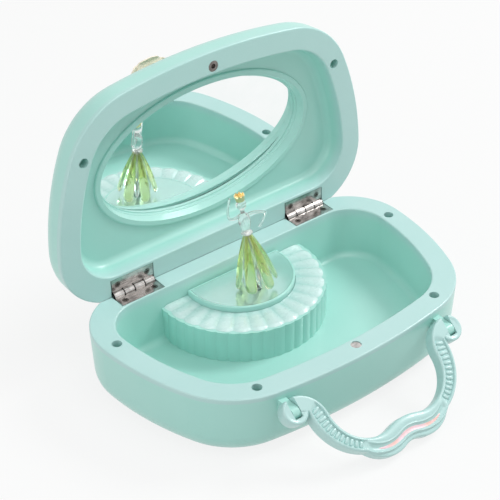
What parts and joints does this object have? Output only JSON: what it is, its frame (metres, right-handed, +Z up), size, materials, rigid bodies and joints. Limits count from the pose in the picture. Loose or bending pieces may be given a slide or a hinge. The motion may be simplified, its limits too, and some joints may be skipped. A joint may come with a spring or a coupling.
{
  "type": "ballerina jewellery box",
  "caption": "Handbag-shaped musical jewellery box with a hinged mirrored lid, a swinging handle, a petalled stage and a turning dancer that folds when the lid shuts.",
  "frame": {"origin": "on the table, at the middle of the flat underside of the base", "axes": "+X along the hinge line to the right, -Y towards the handle, +Z up"},
  "size_m": [0.1848, 0.1819, 0.1445],
  "materials": {
    "mint_plastic": "smooth glossy moulded mint green plastic",
    "petal_plastic": "pearly white-green plastic",
    "mirror_glass": "silvered mirror",
    "nickel": "bright nickel plate",
    "screw_steel": "plain steel screws",
    "magnet_steel": "bright magnet and steel ring",
    "brass": "turned brass",
    "tempered_steel": "hardened steel comb and springs",
    "pot_metal": "die cast bedplate",
    "clear_plastic": "clear moulded plastic",
    "green_plastic": "clear yellow-green plastic",
    "gold_plate": "bright gold plate",
    "cream_plastic": "satin cream plastic",
    "pink_inlay": "pearly pink inlay"
  },
  "bodies": {
    "base": {"base_shell": "mint_plastic", "base_tray": "mint_plastic", "petal_ring": "petal_plastic", "stage_plinth": "mint_plastic", "stage_mirror": "mirror_glass", "base_screws": "screw_steel", "catch_magnet": "magnet_steel", "left_hinge_base_leaf": "nickel", "right_hinge_base_leaf": "nickel", "left_hinge_pin": "nickel", "right_hinge_pin": "nickel", "base_hinge_screws": "screw_steel", "movement_bedplate": "pot_metal", "bedplate_screws": "screw_steel", "spindle_bush": "brass", "inner_bracket": "brass", "outer_bracket": "brass", "comb": "tempered_steel", "comb_block": "brass", "comb_screws": "screw_steel"},
    "lid": {"lid_shell": "mint_plastic", "lid_liner": "mint_plastic", "lid_mirror": "mirror_glass", "lid_screws": "screw_steel", "lid_catch": "magnet_steel", "flower_petals": "cream_plastic", "flower_bud": "cream_plastic", "flower_pearl": "pink_inlay", "left_hinge_lid_leaf": "nickel", "right_hinge_lid_leaf": "nickel", "lid_hinge_screws": "screw_steel"},
    "handle": {"handle": "mint_plastic", "handle_stripe": "pink_inlay", "handle_pins": "nickel"},
    "drive": {"spring_barrel": "brass", "mainspring": "tempered_steel", "crown_wheel": "brass", "drive_spindle": "brass"},
    "cylinder": {"pinned_cylinder": "brass", "cylinder_pinion": "brass", "governor_gear": "brass"},
    "governor": {"governor_arbor": "tempered_steel", "governor_fan": "tempered_steel"},
    "key": {"winding_key": "pot_metal", "winding_arbor": "tempered_steel"},
    "fold": {"dancer_spring": "nickel", "spring_socket": "nickel"},
    "dancer": {"dancer_post": "nickel", "dancer_body": "clear_plastic", "dancer_crown": "gold_plate", "skirt_collar": "clear_plastic", "green_petals": "green_plastic", "clear_petals": "clear_plastic"}
  },
  "joints": [
    {"name": "lid_hinge", "type": "hinge", "parent": "base", "child": "lid", "pos_m": [0, 0.05285, 0.036], "axis": [1, 0, 0], "range_deg": [0, 91.8]},
    {"name": "dancer_fold", "type": "hinge", "parent": "base", "child": "fold", "pos_m": [0.0028, 0.01455, 0.03273], "axis": [0.8, 0.6, 0], "range_deg": [0, 104], "deforming": ["dancer_spring"]},
    {"name": "barrel_spin", "type": "hinge", "parent": "base", "child": "drive", "pos_m": [-0.002, 0.02095, 0.0144], "axis": [0, 0, 1], "continuous": true},
    {"name": "dancer_spin", "type": "hinge", "parent": "fold", "child": "dancer", "pos_m": [-0.00222, 0.02124, 0.03205], "axis": [-0.1042, 0.1389, 0.9848], "continuous": true},
    {"name": "cylinder_spin", "type": "hinge", "parent": "base", "child": "cylinder", "pos_m": [0.018, 0.02095, 0.0181], "axis": [1, 0, 0], "continuous": true},
    {"name": "governor_spin", "type": "hinge", "parent": "base", "child": "governor", "pos_m": [0.028, 0.02569, 0.01638], "axis": [1, 0, 0], "continuous": true},
    {"name": "key_turn", "type": "hinge", "parent": "base", "child": "key", "pos_m": [-0.002, 0.02095, 0.003], "axis": [0, 0, 1], "continuous": true},
    {"name": "handle_swing", "type": "hinge", "parent": "base", "child": "handle", "pos_m": [0, -0.05971, 0.0283], "axis": [-1, 0, 0], "range_deg": [0, 130]}
  ],
  "couplings": [
    {"joint": "dancer_fold", "follows": "lid_hinge", "ratio": 1.1304},
    {"joint": "dancer_spin", "follows": "barrel_spin", "ratio": 1},
    {"joint": "cylinder_spin", "follows": "barrel_spin", "ratio": 3.75},
    {"joint": "governor_spin", "follows": "barrel_spin", "ratio": -9.375}
  ]
}
